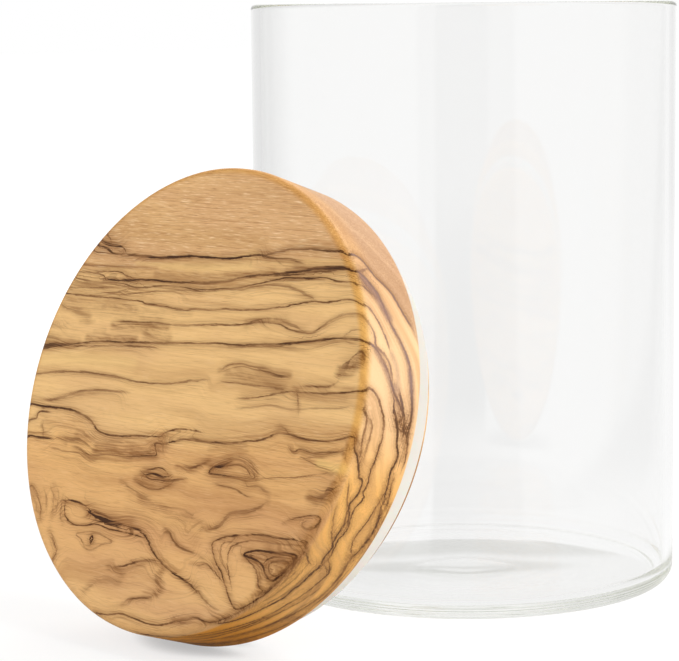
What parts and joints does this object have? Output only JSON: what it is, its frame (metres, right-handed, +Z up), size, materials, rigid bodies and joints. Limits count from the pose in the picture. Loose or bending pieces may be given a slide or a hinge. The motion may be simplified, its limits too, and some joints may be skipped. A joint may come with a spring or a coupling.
{
  "type": "glass storage jar",
  "caption": "Straight-sided round clear glass storage jar with a thick turned olive-wood plug lid and silicone seal ring, the lid taken off and leaning on its edge against the jar.",
  "frame": {"origin": "middle of the jar's flat base, on the surface that the jar stands on", "axes": "+Z up along the jar's axis; the lid leans on the -Y side, face outwards; +X to the right as seen from the lid's side"},
  "size_m": [0.1106, 0.1692, 0.148],
  "materials": {
    "clear_glass": "clear polished glass with a faint green tint at the edges",
    "olive_wood": "oiled olive wood with a satin face and dark brown veins",
    "silicone": "matt translucent off-white silicone"
  },
  "bodies": {
    "jar": {"jar_glass": "clear_glass"},
    "lid": {"lid_wood": "olive_wood", "lid_seal": "silicone"}
  },
  "joints": [
    {"name": "lid_lift", "type": "slide", "parent": "jar", "child": "lid", "axis": [0, 0, 1], "range_m": [0, 0.17]}
  ]
}
